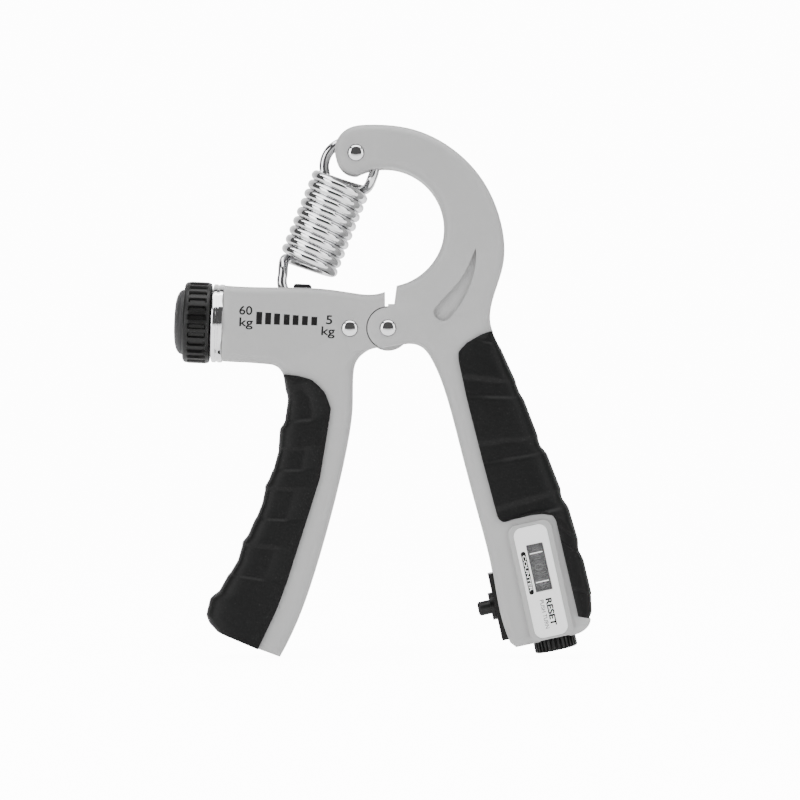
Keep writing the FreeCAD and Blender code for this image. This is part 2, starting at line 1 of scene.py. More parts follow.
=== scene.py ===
import json
import bmesh
import bpy
import numpy as np
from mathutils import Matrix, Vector

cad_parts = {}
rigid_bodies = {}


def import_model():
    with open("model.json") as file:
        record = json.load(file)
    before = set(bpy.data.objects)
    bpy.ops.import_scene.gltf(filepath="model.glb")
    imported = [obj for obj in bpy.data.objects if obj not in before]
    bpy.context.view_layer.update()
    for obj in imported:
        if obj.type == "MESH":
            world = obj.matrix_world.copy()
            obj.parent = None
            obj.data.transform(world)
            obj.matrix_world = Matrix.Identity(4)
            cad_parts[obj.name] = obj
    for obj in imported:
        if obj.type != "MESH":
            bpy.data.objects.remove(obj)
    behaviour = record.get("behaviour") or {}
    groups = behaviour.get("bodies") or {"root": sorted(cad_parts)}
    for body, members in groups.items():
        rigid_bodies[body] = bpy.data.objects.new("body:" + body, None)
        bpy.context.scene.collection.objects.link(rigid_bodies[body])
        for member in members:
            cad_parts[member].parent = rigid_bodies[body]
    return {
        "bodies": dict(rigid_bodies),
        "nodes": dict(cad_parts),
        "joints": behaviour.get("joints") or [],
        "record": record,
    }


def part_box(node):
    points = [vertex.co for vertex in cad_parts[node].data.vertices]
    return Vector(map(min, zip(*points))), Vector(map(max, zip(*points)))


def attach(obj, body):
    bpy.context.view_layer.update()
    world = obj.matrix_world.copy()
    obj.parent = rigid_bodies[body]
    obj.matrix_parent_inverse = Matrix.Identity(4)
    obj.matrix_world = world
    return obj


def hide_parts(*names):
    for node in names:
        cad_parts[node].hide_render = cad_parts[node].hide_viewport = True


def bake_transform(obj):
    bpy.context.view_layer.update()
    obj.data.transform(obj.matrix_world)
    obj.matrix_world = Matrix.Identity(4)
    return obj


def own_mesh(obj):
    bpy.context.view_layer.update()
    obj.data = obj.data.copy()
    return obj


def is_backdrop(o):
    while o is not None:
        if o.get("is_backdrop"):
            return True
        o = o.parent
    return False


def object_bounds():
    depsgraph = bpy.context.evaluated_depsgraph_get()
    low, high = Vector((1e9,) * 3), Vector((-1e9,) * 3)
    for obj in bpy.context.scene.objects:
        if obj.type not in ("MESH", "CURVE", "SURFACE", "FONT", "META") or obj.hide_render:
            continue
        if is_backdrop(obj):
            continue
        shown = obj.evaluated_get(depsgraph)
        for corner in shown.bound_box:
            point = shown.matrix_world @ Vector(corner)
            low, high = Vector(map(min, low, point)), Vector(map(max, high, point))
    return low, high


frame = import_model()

bl_info = {
    "name": "Hand grip strengthener",
    "version": (1, 0, 0),
    "blender": (4, 5, 0),
    "location": "View3D > Sidebar > Grip",
    "description": "Builds the detailed grips, spring, knobs, counter and studio round the grip's CAD frame",
    "category": "Add Mesh",
}

MM = 0.001
JOINTS = {joint["name"]: joint for joint in frame["joints"]}
PIVOT = np.array(JOINTS["lever_hinge"]["pos_m"])
BARREL_AXIS = np.array(JOINTS["knob_turn"]["axis"])
BARREL_ROOT = np.array(JOINTS["knob_turn"]["pos_m"])
COUNTER_AXIS = np.array(JOINTS["units_turn"]["axis"])
COUNTER_ROOT = np.array(JOINTS["units_turn"]["pos_m"])
BUTTON_AXIS = np.array(JOINTS["count_press"]["axis"])
BACK = np.array([0.0, 1.0, 0.0])
UP = np.array([0.0, 0.0, 1.0])
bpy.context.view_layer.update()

# Sizes shared with the CAD model, in millimetres from the pivot pin's centre.
BODY_HALF = 10.5
SPRING_PIN, SCREW_PIN = (-9.3, 50.9), (-11.1, -0.1)
LOWER_LOOP, UPPER_LOOP = (-25.7, 13.9), (-11.3, 47.4)
COIL_LOW, COIL_HIGH = (-23.6, 18.3), (-13.5, 43.2)
LOWER_HOOK_R, UPPER_HOOK_R = 5.35, 7.4

# The counter's rectangles: from and to down the handle, then from and to across it, and their depths.
COVER, LABEL, WINDOW = (-13.3, 21.0, -6.9, 6.1), (-12.3, 20.3, -5.4, 4.5), (-6.95, 6.95, -2.43, 2.43)
COVER_BACK, COVER_FRONT, LABEL_SEAT, LABEL_FRONT = -10.5, -11.7, -11.4, -11.69
PANE_BACK, PANE_FRONT = -10.2, -11.2
BUTTON_PLACE = 8.7
FIGURE_WIDTH, FIGURE_HEIGHT = 2.0, 2.7

# The handles' rubber: the line along the plastic's edge and the line of the outer edge, top to bottom.
PALM_INSIDE = [(30.5, -0.9), (27.3, -2.0), (23.2, -4.35), (20.7, -7.0), (20.8, -9.6), (23.2, -20.6),
               (27.7, -38.3), (32.2, -55.1), (33.3, -56.3), (35.7, -55.8), (40.3, -53.9), (44.8, -53.0),
               (47.6, -53.9), (49.0, -56.0), (50.1, -60.9), (53.6, -75.7), (55.5, -83.8)]
PALM_OUTSIDE = [(30.5, -0.9), (32.5, -4.9), (37.7, -16.2), (38.6, -18.6), (39.4, -19.9), (44.1, -32.2),
                (44.7, -34.2), (46.1, -35.7), (50.75, -47.6), (51.0, -49.3), (52.5, -51.3), (55.7, -62.35),
                (55.7, -64.4), (57.1, -67.6), (59.5, -77.7), (59.7, -82.65), (58.9, -84.4)]
FINGER_INSIDE = [(-30.5, -13.6), (-26.5, -14.0), (-22.4, -15.1), (-18.5, -18.8), (-16.8, -23.5),
                 (-18.0, -31.2), (-20.0, -43.5), (-23.0, -53.1), (-29.6, -73.7), (-32.5, -81.5),
                 (-38.0, -93.2)]
FINGER_OUTSIDE = [(-30.5, -13.6), (-29.5, -20.9), (-30.5, -27.8), (-31.6, -29.3), (-32.0, -34.8),
                  (-33.9, -41.8), (-34.8, -44.1), (-36.0, -46.1), (-37.0, -51.0), (-38.9, -55.7),
                  (-40.9, -60.3), (-42.6, -62.35), (-44.1, -67.6), (-46.7, -71.9), (-49.3, -76.6),
                  (-51.9, -78.6), (-53.1, -83.5), (-52.2, -85.8), (-49.9, -88.2)]


class GripSizes(bpy.types.PropertyGroup):
    """Sizes of the detailed pieces"""
    wire: bpy.props.FloatProperty(name="Spring wire", description="Diameter of the spring's wire",
                                  default=0.0029, unit="LENGTH")
    coils: bpy.props.IntProperty(name="Coils", description="Turns in the spring's body", default=9)
    coil_radius: bpy.props.FloatProperty(name="Coil radius", description="Radius of the wire's centre line",
                                         default=0.00755, unit="LENGTH")
    pad_depth: bpy.props.FloatProperty(name="Pad depth", unit="LENGTH", default=0.00075,
                                       description="Step between a grip's pads and recesses")
    knob_ribs: bpy.props.IntProperty(name="Knob ribs", description="Ribs round the load knob", default=28)
    thread_pitch: bpy.props.FloatProperty(name="Thread pitch", description="Pitch of the adjusting screw",
                                          default=0.002, unit="LENGTH")


class GripColours(bpy.types.PropertyGroup):
    """Colours of the plastics, the rubber and the printing"""
    body: bpy.props.FloatVectorProperty(name="Body", description="Moulded body plastic", subtype="COLOR",
                                        default=(0.38, 0.38, 0.38))
    rubber: bpy.props.FloatVectorProperty(name="Rubber", description="Grip rubber", subtype="COLOR",
                                          default=(0.003, 0.003, 0.003))
    label: bpy.props.FloatVectorProperty(name="Label", description="Counter label", subtype="COLOR",
                                         default=(0.95, 0.95, 0.95))
    print_ink: bpy.props.FloatVectorProperty(name="Ink", description="Printed scale and lettering",
                                             subtype="COLOR", default=(0.004, 0.004, 0.004))


# ---- Shapes worked out on grids ----
def unit(vector):
    """The vector at length one."""
    return vector / np.linalg.norm(vector)


def spot(points, y=0.0):
    """(x, z) points in millimetres from the pivot, as points of the row frame at depth y."""
    flat = np.asarray(points, float).reshape(-1, 2)
    return PIVOT + MM * np.stack([flat[:, 0], np.full(len(flat), float(y)), flat[:, 1]], axis=1)


def grid_faces(rows, columns, wrap_rows=False, wrap_columns=True):
    """Four-cornered faces between neighbouring rows and columns of a grid of points."""
    r = np.arange(rows if wrap_rows else rows - 1)
    c = np.arange(columns if wrap_columns else columns - 1)
    r, c = [a.ravel() for a in np.meshgrid(r, c, indexing="ij")]
    r2, c2 = (r + 1) % rows, (c + 1) % columns
    return np.stack([r * columns + c, r * columns + c2, r2 * columns + c2, r2 * columns + c], axis=1)


def mesh_object(name, points, faces, caps=()):
    """A mesh piece from points and faces; caps are rings of point numbers, each closed by one face."""
    mesh = bpy.data.meshes.new(name)
    mesh.from_pydata(points.tolist(), [], faces.tolist() + [list(map(int, ring)) for ring in caps])
    mesh.polygons.foreach_set("use_smooth", np.ones(len(mesh.polygons), bool))
    mesh.update()
    piece = bpy.data.objects.new(name, mesh)
    bpy.context.scene.collection.objects.link(piece)
    return piece


def tidy_normals(piece, sharp_degrees=35):
    """Merges doubles, turns every face outwards and keeps edges sharper than the angle."""
    work = bmesh.new()
    work.from_mesh(piece.data)
    bmesh.ops.remove_doubles(work, verts=work.verts, dist=1e-7)
    bmesh.ops.recalc_face_normals(work, faces=work.faces)
    work.to_mesh(piece.data)
    work.free()
    piece.data.set_sharp_from_angle(angle=np.radians(sharp_degrees))


def closed_tube(name, rings):
    """A closed skin over a stack of rings, rings[k] being the k-th loop of points, with both ends filled."""
    rows, columns = rings.shape[:2]
    last = (rows - 1) * columns + np.arange(columns)
    piece = mesh_object(name, rings.reshape(-1, 3), grid_faces(rows, columns),
                        (np.arange(columns)[::-1], last))
    tidy_normals(piece)
    return piece


def turned(name, profile, centre, axis, ribs=0, rib_depth=0.0, segments=96):
    """A turned shape: profile (distance along the axis, radius) in millimetres, swept round the axis.
    Ribs scale the radius by a flattened cosine of the angle, weighted by the profile's third value."""
    axis = unit(axis)
    side = unit(np.cross(axis, BACK))
    across = np.cross(axis, side)
    profile = np.asarray([tuple(p) + (0.0,) * (3 - len(p)) for p in profile])
    angle = np.linspace(0, 2 * np.pi, segments, endpoint=False)
    groove = np.clip(0.5 - 1.4 * np.cos(ribs * angle), 0, 1) if ribs else np.zeros(segments)
    radius = profile[:, 1, None] - rib_depth * profile[:, 2, None] * groove[None, :]
    ring = np.cos(angle)[:, None] * side + np.sin(angle)[:, None] * across
    rings = centre + MM * (profile[:, 0, None, None] * axis + radius[:, :, None] * ring[None])
    return closed_tube(name, rings)


def turned_across(name, profile, centre):
    """A turned shape whose axis runs from front to back."""
    profile = np.asarray(profile)
    angle = np.linspace(0, 2 * np.pi, 64, endpoint=False)
    ring = np.cos(angle)[:, None] * np.array([1.0, 0, 0]) + np.sin(angle)[:, None] * UP
    rings = centre + MM * (profile[:, 0, None, None] * BACK + profile[:, 1, None, None] * ring[None])
    return closed_tube(name, rings)


def resampled(points, knots, count):
    """Points along a polyline at even steps of the parameter that its knots carry."""
    points, knots = np.asarray(points, float), np.asarray(knots, float)
    t = np.linspace(0, 1, count)
    return np.stack([np.interp(t, knots, points[:, k]) for k in (0, 1)], axis=1)


def softened(points, passes):
    """Averages each point with its neighbours, ends kept, so corners become short curves."""
    for _ in range(passes):
        points = np.vstack([points[:1], (points[:-2] + 2 * points[1:-1] + points[2:]) / 4, points[-1:]])
    return points


def wire(name, path, radius, sides):
    """A round section carried along a path, each section turned as little as possible from the last."""
    step = np.gradient(path, axis=0)
    step /= np.linalg.norm(step, axis=1)[:, None]
    normal = np.cross(step[0], UP + 0.3 * BACK)
    normals = []
    for direction in step:
        normal = unit(normal - direction * (normal @ direction))
        normals.append(normal)
    normals = np.array(normals)
    others = np.cross(step, normals)
    angle = np.linspace(0, 2 * np.pi, sides, endpoint=False)
    cosine, sine = np.cos(angle)[None, :, None], np.sin(angle)[None, :, None]
    section = cosine * normals[:, None] + sine * others[:, None]
    return closed_tube(name, path[:, None] + np.asarray(radius).reshape(-1, 1, 1) * section)


def recess_depth(t, across, spans, reach, edge_t, edge_a):
    """How deep a grip's surface lies below its raised tone: 1 inside the spans and beyond reach, 0 outside,
    with rounded corners. t runs down the handle, across from the plastic's edge to the outside."""
    depth = np.zeros_like(t)
    for start, end in spans:
        down = np.clip(np.minimum(t - start, end - t) / edge_t, 0, 1)
        out = np.clip((across - reach) / edge_a, 0, 1)
        corner = 1 - np.hypot(1 - down, 1 - out)
        depth = np.maximum(depth, np.clip(corner, 0, 1) ** 0.7)
    return depth


def grip_skin(name, inside, inside_knots, outside, outside_knots, spans, raised, reach):
    """A rubber grip: at each station down the handle the section leaves the plastic's edge, runs over the
    flat face, turns round the outer edge and comes back behind, then returns inside to close the wall.
    The turn is a superellipse: across = sin(a) ** square, rise = cos(a) ** square. The face stands proud of
    the plastic, tucks a little under its edge, and spans lower or raise it by the pad depth."""
    rows, half, square = 260, 40, 2 / 5.0
    proud, tuck, edge_share = 0.85, 0.3, 0.35
    core_reach, core_depth, core_start = 0.9, 0.8, -0.02
    inner = softened(resampled(inside, inside_knots, rows), 2)
    outer = softened(resampled(outside, outside_knots, rows), 3)
    angle = np.linspace(0, np.pi / 2, half)
    across = np.sin(angle) ** square
    rise = np.cos(angle) ** square
    t = np.linspace(0, 1, rows)[:, None]
    shape = (rows, half)
    depth = recess_depth(np.broadcast_to(t, shape), np.broadcast_to(across, shape), spans, reach, 0.012, 0.10)
    step = bpy.context.scene.grip_sizes.pad_depth / MM
    level = step * (depth if not raised else 1 - depth)
    width = np.linalg.norm(outer - inner, axis=1)[:, None]
    share = across - (edge_share * level * across ** 6 + tuck * (1 - across) ** 4) / np.maximum(width, 1.0)
    face = (BODY_HALF + proud) * rise - level * (1 - across ** 4) * np.clip(across / 0.05, 0, 1)
    place = inner[:, None, :] + (outer - inner)[:, None, :] * share[:, :, None]
    front = np.concatenate([place, -face[:, :, None]], axis=2)
    rear = front[:, ::-1][:, 1:] * [1, 1, -1]
    wall = np.concatenate([front, rear], axis=1)
    core_share = np.clip(share * core_reach + core_start, core_start, None)
    core = inner[:, None, :] + (outer - inner)[:, None, :] * core_share[:, :, None]
    lining = np.concatenate([core, -(face * core_depth)[:, :, None]], axis=2)
    lining = np.concatenate([lining, lining[:, ::-1][:, 1:] * [1, 1, -1]], axis=1)[:, ::-1]
    section = np.concatenate([wall, lining], axis=1)
    rings = PIVOT + MM * section[:, :, [0, 2, 1]]
    return closed_tube(name, rings)


def lengths(points):
    """Share of a polyline's length at each of its points."""
    steps = np.linalg.norm(np.diff(np.asarray(points, float), axis=0), axis=1)
    return np.concatenate([[0], np.cumsum(steps)]) / steps.sum()


def matched(points, marks):
    """Knots for a polyline by length, bent so that each marked point (index, value) gets its value."""
    share = lengths(points)
    at = [share[index] for index, _ in marks]
    return np.interp(share, at, [value for _, value in marks])


# ---- Finishes ----
def grain_group():
    """Shader group for moulded and worked surfaces: a fine grain as height, a slow mottle of the colour
    and of the roughness, and a lighter tone where the surface turns sharply."""
    tree = bpy.data.node_groups.new("surface_grain", "ShaderNodeTree")
    number, colour = "NodeSocketFloat", "NodeSocketColor"
    for label, kind, value in (("Colour", colour, (0.5, 0.5, 0.5, 1)), ("Scale", number, 900),
                               ("Mottle", number, 0.1), ("Edge", number, 0.2), ("Roughness", number, 0.5)):
        tree.interface.new_socket(label, in_out="INPUT", socket_type=kind).default_value = value
    for label, kind in (("Colour", colour), ("Roughness", number), ("Height", number)):
        tree.interface.new_socket(label, in_out="OUTPUT", socket_type=kind)
    add, link = tree.nodes.new, tree.links.new
    inside, outside = add("NodeGroupInput"), add("NodeGroupOutput")
    place = add("ShaderNodeTexCoord").outputs["Object"]
    fine, slow = add("ShaderNodeTexNoise"), add("ShaderNodeTexNoise")
    slow.inputs["Scale"].default_value = 60
    slow.inputs["Detail"].default_value = 4
    fine.inputs["Detail"].default_value = 3
    link(place, fine.inputs["Vector"])
    link(place, slow.inputs["Vector"])
    link(inside.outputs["Scale"], fine.inputs["Scale"])

    def worked_out(a, b, operation="ADD"):
        """The output of a maths node fed by two sockets or numbers."""
        node = add("ShaderNodeMath")
        node.operation = operation
        for socket, value in zip(node.inputs, (a, b)):
            if isinstance(value, (int, float)):
                socket.default_value = value
            else:
                link(value, socket)
        return node.outputs[0]

    wander = worked_out(worked_out(slow.outputs[0], 0.5, "SUBTRACT"), inside.outputs["Mottle"], "MULTIPLY")
    turn = add("ShaderNodeMapRange")
    link(add("ShaderNodeNewGeometry").outputs["Pointiness"], turn.inputs["Value"])
    turn.inputs["From Min"].default_value, turn.inputs["From Max"].default_value = 0.5, 0.62
    edge = worked_out(turn.outputs[0], inside.outputs["Edge"], "MULTIPLY")
    tone = worked_out(worked_out(wander, edge), 1.0)
    scaled = add("ShaderNodeVectorMath")
    scaled.operation = "SCALE"
    link(inside.outputs["Colour"], scaled.inputs[0])
    link(tone, scaled.inputs["Scale"])
    link(scaled.outputs[0], outside.inputs["Colour"])
    rough = worked_out(inside.outputs["Roughness"], wander)
    link(rough, outside.inputs["Roughness"])
    link(fine.outputs[0], outside.inputs["Height"])
    return tree


def finish(name, colour, roughness, scale, bump, mottle, edge, metallic=0.0, specular=0.5):
    """One material: a Principled shader fed by the shared grain group with this finish's own values."""
    material = bpy.data.materials.new(name + "_finish")
    material.use_nodes = True
    tree = material.node_tree
    shader = tree.nodes["Principled BSDF"]
    group = tree.nodes.new("ShaderNodeGroup")
    group.node_tree = bpy.data.node_groups.get("surface_grain") or grain_group()
    for label, value in (("Colour", tuple(colour) + (1,)), ("Scale", scale), ("Mottle", mottle),
                         ("Edge", edge), ("Roughness", roughness)):
        group.inputs[label].default_value = value
    relief = tree.nodes.new("ShaderNodeBump")
    relief.inputs["Strength"].default_value = bump
    relief.inputs["Distance"].default_value = 0.0002
    tree.links.new(group.outputs["Colour"], shader.inputs["Base Color"])
    tree.links.new(group.outputs["Roughness"], shader.inputs["Roughness"])
    tree.links.new(group.outputs["Height"], relief.inputs["Height"])
    tree.links.new(relief.outputs["Normal"], shader.inputs["Normal"])
    shader.inputs["Metallic"].default_value = metallic
    shader.inputs["Specular IOR Level"].default_value = specular
    return material


def make_finishes():
    """Every finish by its name: colour, roughness, then the grain's scale, bump, mottle and edge."""
    colours = bpy.context.scene.grip_colours
    dark = (0.003, 0.003, 0.003)
    return {
        "body_plastic": finish("body_plastic", colours.body, 0.42, 2600, 0.12, 0.05, 0.12),
        "grip_rubber": finish("grip_rubber", colours.rubber, 0.5, 2200, 0.25, 0.25, 0.3, specular=0.2),
        "knob_plastic": finish("knob_plastic", dark, 0.4, 1800, 0.1, 0.15, 0.3, specular=0.3),
        "cap_plastic": finish("cap_plastic", (0.03, 0.03, 0.031), 0.45, 2400, 0.15, 0.1, 0.2, specular=0.25),
        "chrome": finish("chrome", (0.82, 0.82, 0.83), 0.07, 400, 0.008, 0.04, 0.0, metallic=1.0),
        "steel": finish("steel", (0.5, 0.5, 0.51), 0.32, 900, 0.05, 0.12, 0.1, metallic=1.0),
        "brass": finish("brass", (0.62, 0.42, 0.16), 0.28, 900, 0.04, 0.12, 0.1, metallic=1.0),
        "slider_plastic": finish("slider_plastic", (0.02, 0.02, 0.021), 0.38, 1600, 0.08, 0.15, 0.3,
                                 specular=0.25),
        "label_plastic": finish("label_plastic", colours.label, 0.35, 3000, 0.03, 0.02, 0.0),
        "counter_black": finish("counter_black", dark, 0.35, 1800, 0.05, 0.15, 0.3, specular=0.3),
        "wheel_grey": finish("wheel_grey", (0.12, 0.12, 0.123), 0.5, 1800, 0.0, 0.1, 0.1),
        "ink": finish("ink", colours.print_ink, 0.55, 3000, 0.05, 0.2, 0.0, specular=0.2),
        "digit_ink": finish("digit_ink", (0.3, 0.3, 0.3), 0.5, 3000, 0.0, 0.05, 0.0),
        "lens": lens_finish(),
    }


def lens_finish():
    """Clear moulded window: a grey that lets most of what is behind it through."""
    material = finish("lens", (0.16, 0.162, 0.165), 0.1, 700, 0.0, 0.02, 0.0)
    material.node_tree.nodes["Principled BSDF"].inputs["Alpha"].default_value = 0.35
    return material


def dressed(piece, material, body, *nodes, slot=None):
    """Gives a piece its finish and its body, and hides the CAD nodes that it stands for."""
    piece.data.materials.clear()
    piece.data.materials.append(bpy.data.materials[material + "_finish"])
    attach(piece, body)
    if nodes:
        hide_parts(*nodes)
    return piece


# ---- Pieces ----
class GRIP_OT_finishes(bpy.types.Operator):
    """Makes the materials and gives every CAD piece its own"""
    bl_idname = "grip.finishes"
    bl_label = "Finishes"

    def execute(self, context):
        finishes = make_finishes()
        slots = {row["node"]: row["material_slot"] for row in frame["record"]["subparts"]}
        for node, piece in frame["nodes"].items():
            piece.data.materials.clear()
            piece.data.materials.append(finishes[slots[node]])
        return {"FINISHED"}


class GRIP_OT_palm_grip(bpy.types.Operator):
    """Rubber of the palm handle: raised pads with narrow valleys between them"""
    bl_idname = "grip.palm_grip"
    bl_label = "Palm grip"

    def execute(self, context):
        inside = matched(PALM_INSIDE, [(0, 0), (7, 0.56), (13, 0.66), (16, 1)])
        outside = matched(PALM_OUTSIDE, [(0, 0), (9, 0.56), (11, 0.68), (16, 1)])
        pads = [(outside[first], outside[last]) for first, last in ((1, 2), (4, 5), (7, 8), (10, 11))]
        pads.append((outside[13] - 0.03, outside[14]))
        piece = grip_skin("palm_grip_skin", PALM_INSIDE, inside, PALM_OUTSIDE, outside, pads, True, 0.1)
        dressed(piece, "grip_rubber", "arch_lever", "palm_grip")
        return {"FINISHED"}


class GRIP_OT_finger_grip(bpy.types.Operator):
    """Rubber of the finger handle: four finger recesses between raised ribs"""
    bl_idname = "grip.finger_grip"
    bl_label = "Finger grip"

    def execute(self, context):
        inside = matched(FINGER_INSIDE, [(0, 0), (4, 0.14), (10, 1)])
        outside = matched(FINGER_OUTSIDE, [(0, 0), (18, 1)])
        hollows = [(outside[1] - 0.03, outside[2])]
        hollows += [(outside[first], outside[last]) for first, last in ((4, 5), (7, 9), (11, 13))]
        piece = grip_skin("finger_grip_skin", FINGER_INSIDE, inside, FINGER_OUTSIDE, outside, hollows, False,
                          0.3)
        dressed(piece, "grip_rubber", "barrel_lever", "finger_grip")
        return {"FINISHED"}


def bridge(start, start_way, end, end_way, count):
    """A cubic between two points that leaves and arrives in the given directions."""
    t = np.linspace(0, 1, count)[1:-1, None]
    return ((2 * t ** 3 - 3 * t ** 2 + 1) * start + (t ** 3 - 2 * t ** 2 + t) * start_way
            + (3 * t ** 2 - 2 * t ** 3) * end + (t ** 3 - t ** 2) * end_way)


def hook(centre, radius, start, end, count):
    """An arc in the levers' plane, its radius in millimetres, from angle start to angle end, in degrees."""
    angle = np.radians(np.linspace(start, end, count))
    return spot(np.stack([centre[0] + radius * np.cos(angle), centre[1] + radius * np.sin(angle)], axis=1))


def spring_path():
    """Lower hook, a cubic into the coil, a helix round the coil's leaning axis, a cubic out of it and the
    upper hook. The helix is centre + radius * (cos a * side + sin a * back) with a growing evenly."""
    sizes = bpy.context.scene.grip_sizes
    low, high = spot([COIL_LOW])[0], spot([COIL_HIGH])[0]
    lean = unit(high - low)
    side = np.cross(BACK, lean)
    turns = np.linspace(0, 1, 48 * sizes.coils)
    angle = np.radians(180 + 35) + turns * 2 * np.pi * (sizes.coils + 0.31)
    helix = (low + turns[:, None] * (high - low)
             + sizes.coil_radius * (np.cos(angle)[:, None] * side - np.sin(angle)[:, None] * BACK))
    lower = hook(LOWER_LOOP, LOWER_HOOK_R, 332, 168, 60)
    upper = hook(UPPER_LOOP, UPPER_HOOK_R, -22, 205, 80)
    way_in, way_out = unit(helix[1] - helix[0]) * 9 * MM, unit(helix[-1] - helix[-2]) * 9 * MM
    first = bridge(lower[-1], unit(lower[-1] - lower[-2]) * 8 * MM, helix[0], way_in, 26)
    second = bridge(helix[-1], way_out, upper[0], unit(upper[1] - upper[0]) * 6 * MM, 26)
    return np.vstack([lower, first, helix, second, upper])


def follow_slider(piece):
    """Shifts the spring's lower end with the slider: every point moves by its blend weight times the
    slider's travel along the barrel, read as the distance between the two bodies."""
    tree = bpy.data.node_groups.new("spring_follows_slider", "GeometryNodeTree")
    tree.interface.new_socket("Geometry", in_out="INPUT", socket_type="NodeSocketGeometry")
    tree.interface.new_socket("Geometry", in_out="OUTPUT", socket_type="NodeSocketGeometry")
    add, link = tree.nodes.new, tree.links.new
    inside, outside, shift = add("NodeGroupInput"), add("NodeGroupOutput"), add("GeometryNodeSetPosition")
    places = []
    for body in ("slider", "barrel_lever"):
        place = add("GeometryNodeObjectInfo")
        place.inputs["Object"].default_value = frame["bodies"][body]
        places.append(place.outputs["Location"])
    travel, scaled = add("ShaderNodeVectorMath"), add("ShaderNodeVectorMath")
    weight = add("GeometryNodeInputNamedAttribute")
    travel.operation, scaled.operation = "SUBTRACT", "SCALE"
    weight.inputs["Name"].default_value = "hook_share"
    link(places[0], travel.inputs[0])
    link(places[1], travel.inputs[1])
    link(travel.outputs[0], scaled.inputs[0])
    link(next(s for s in weight.outputs if s.enabled and s.name == "Attribute"), scaled.inputs["Scale"])
    link(scaled.outputs[0], shift.inputs["Offset"])
    link(inside.outputs[0], shift.inputs["Geometry"])
    link(shift.outputs[0], outside.inputs[0])
    piece.modifiers.new("follow_slider", "NODES").node_group = tree


class GRIP_OT_spring(bpy.types.Operator):
    """Close-wound chrome spring with a hook at each end"""
    bl_idname = "grip.spring"
    bl_label = "Spring"

    def execute(self, context):
        path = spring_path()
        radius = np.full(len(path), context.scene.grip_sizes.wire / 2)
        radius[[0, -1]] *= 0.55
        radius[[1, -2]] *= 0.85
        piece = wire("spring_wire", path, radius, 24)
        piece.data.materials.append(bpy.data.materials["chrome_finish"])
        start, end = spot([SPRING_PIN])[0] - 0.008 * UP, spot([LOWER_LOOP])[0]
        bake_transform(piece)
        points = np.zeros(len(piece.data.vertices) * 3)
        piece.data.vertices.foreach_get("co", points)
        way = end - start
        along = np.clip((points.reshape(-1, 3) - start) @ way / (way @ way), 0, 1)
        share = piece.data.attributes.new("hook_share", "FLOAT", "POINT")
        share.data.foreach_set("value", along * along * (3 - 2 * along))
        follow_slider(piece)
        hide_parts("spring")
        return {"FINISHED"}


class GRIP_OT_knob(bpy.types.Operator):
    """Ribbed load knob, its domed cap and the chrome ring"""
    bl_idname = "grip.knob"
    bl_label = "Load knob"

    def execute(self, context):
        ribs = context.scene.grip_sizes.knob_ribs
        knob = [(40.8, 8.0), (40.75, 11.0), (40.9, 11.5), (41.3, 11.75), (41.8, 11.85), (41.9, 11.9, 0.2),
                (42.2, 11.92, 1), (44.4, 11.92, 1), (46.7, 11.92, 1), (47.0, 11.9, 0.3), (47.1, 11.85),
                (47.9, 11.75), (48.4, 11.4), (48.65, 10.9), (48.7, 10.2), (48.5, 9.8), (47.4, 9.7),
                (46.9, 8.0)]
        piece = turned("load_knob", knob, BARREL_ROOT, BARREL_AXIS, ribs, 0.75, ribs * 16)
        dressed(piece, "knob_plastic", "adjuster", "adjust_knob")
        angle = np.linspace(0, np.pi / 2, 14)
        dome = [(47.2, 9.55), (48.6, 9.6)]
        dome += [(48.7 + 2.75 * np.sin(a) ** 0.9, 9.55 * np.cos(a) ** 0.55) for a in angle[:-1]]
        cap = turned("knob_cap", dome + [(51.45, 0.02)], BARREL_ROOT, BARREL_AXIS)
        dressed(cap, "cap_plastic", "adjuster", "knob_end_cap")
        collar = [(36.95, 9.0), (36.95, 11.0), (37.15, 11.35), (37.5, 11.45), (38.3, 11.45), (38.45, 11.25),
                  (38.7, 11.2), (38.95, 11.25), (39.1, 11.45), (39.9, 11.45), (40.2, 11.3), (40.3, 10.9),
                  (40.3, 9.0)]
        ring = turned("chrome_ring", collar, BARREL_ROOT, BARREL_AXIS)
        dressed(ring, "chrome", "barrel_lever", "barrel_collar")
        return {"FINISHED"}


class GRIP_OT_lead_screw(bpy.types.Operator):
    """Adjusting screw with its helical thread: the radius follows a triangle wave of the distance along
    the screw less the pitch times the turn"""
    bl_idname = "grip.lead_screw"
    bl_label = "Adjusting screw"

    def execute(self, context):
        pitch = context.scene.grip_sizes.thread_pitch / MM
        low, high = 6.0, 33.4
        along = np.arange(low, high, pitch / 8)
        angle = np.linspace(0, 2 * np.pi, 24, endpoint=False)
        phase = (along[:, None] / pitch - angle[None] / (2 * np.pi)) % 1
        fade = np.clip(np.minimum(along - low, high - along), 0, 1)[:, None]
        radius = 2.35 + 0.6 * np.abs(2 * phase - 1) * fade
        axis = unit(BARREL_AXIS)
        side = np.cross(axis, BACK)
        around = np.cos(angle)[:, None] * side + np.sin(angle)[:, None] * np.cross(axis, side)
        rings = BARREL_ROOT + MM * (along[:, None, None] * axis + radius[:, :, None] * around[None])
        thread = closed_tube("screw_thread", rings)
        dressed(thread, "steel", "adjuster", "adjusting_screw")
        ends = [("screw_journal", [(2.7, 1.6), (2.9, 2.0), (6.2, 2.0), (6.3, 1.5)]),
                ("screw_shank", [(33.2, 2.0), (33.4, 4.1), (33.5, 4.2), (34.4, 4.2), (34.5, 4.1), (34.5, 3.0),
                                 (44.7, 3.0), (44.7, 1.0)])]
        for name, profile in ends:
            dressed(turned(name, profile, BARREL_ROOT, BARREL_AXIS, segments=48), "steel", "adjuster")
        return {"FINISHED"}


